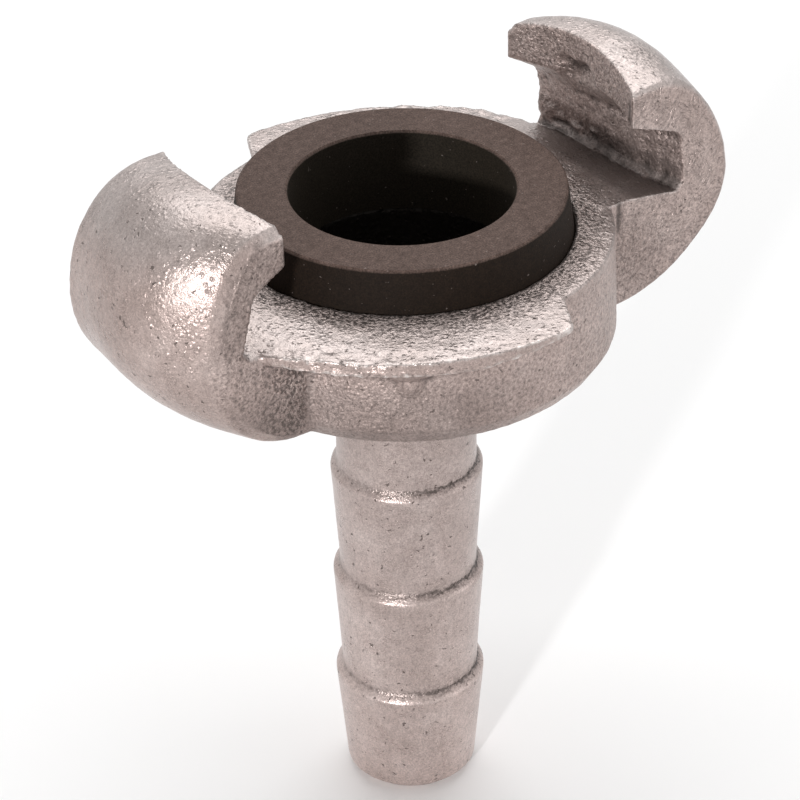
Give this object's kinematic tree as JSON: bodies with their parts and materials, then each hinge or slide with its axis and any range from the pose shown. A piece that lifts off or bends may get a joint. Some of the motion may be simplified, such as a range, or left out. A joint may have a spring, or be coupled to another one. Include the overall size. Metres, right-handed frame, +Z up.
{
  "type": "claw hose coupling",
  "caption": "Cast quarter-turn claw coupling half with a soft seal ring in its face and a barbed tail for a pushed-on hose.",
  "frame": {"origin": "centre of the cut end of the hose tail, which is the lowest plane of the part", "axes": "+Z up along the bore axis towards the sealing face, +X from the bore axis through the middle of one claw"},
  "size_m": [0.0628, 0.0458, 0.0717],
  "materials": {
    "coupling_body": "zinc coated, as cast",
    "seal_ring": "matt"
  },
  "bodies": {
    "root": {"coupling_body": "coupling_body", "seal_ring": "seal_ring"}
  },
  "joints": []
}
